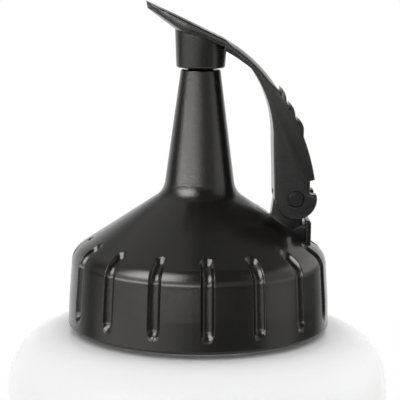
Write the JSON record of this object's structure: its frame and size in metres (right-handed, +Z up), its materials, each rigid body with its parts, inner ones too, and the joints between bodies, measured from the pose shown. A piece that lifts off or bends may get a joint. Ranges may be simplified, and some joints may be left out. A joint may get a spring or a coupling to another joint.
{
  "type": "squeeze bottle",
  "caption": "Translucent squeeze bottle for sauces, with a wide grooved screw cap, a tapered nozzle and a hinged flip lever that closes it.",
  "frame": {"origin": "middle of the underside of the bottle", "axes": "+Z up along the bottle's axis, +X from the axis towards the lever's hinge"},
  "size_m": [0.0824, 0.0824, 0.2654],
  "materials": {
    "milky_plastic": "milky, translucent, glossy",
    "seal_foam": "matt white",
    "cap_plastic": "black, satin gloss",
    "pin_plastic": "black, satin gloss",
    "lever_plastic": "black, fine satin",
    "soft_pad": "matt dark grey"
  },
  "bodies": {
    "bottle": {"bottle_body": "milky_plastic"},
    "cap_seal": {"sealing_ring": "seal_foam"},
    "cap": {"screw_cap": "cap_plastic", "hinge_pin": "pin_plastic"},
    "lever_body": {"flip_lever": "lever_plastic", "stopper_pad": "soft_pad"}
  },
  "joints": [
    {"name": "cap_lift", "type": "slide", "parent": "bottle", "child": "cap_seal", "axis": [0, 0, 1], "range_m": [0, 0.00501]},
    {"name": "cap_turn", "type": "hinge", "parent": "cap_seal", "child": "cap", "pos_m": [0, 0, 0.1961], "axis": [0, 0, 1], "range_deg": [0, 450]},
    {"name": "lever", "type": "hinge", "parent": "cap", "child": "lever_body", "pos_m": [0.0204, 0, 0.2241], "axis": [0, 1, 0], "range_deg": [0, 100]}
  ],
  "couplings": [
    {"joint": "cap_lift", "follows": "cap_turn", "m_per_rad": 0.00063662}
  ]
}
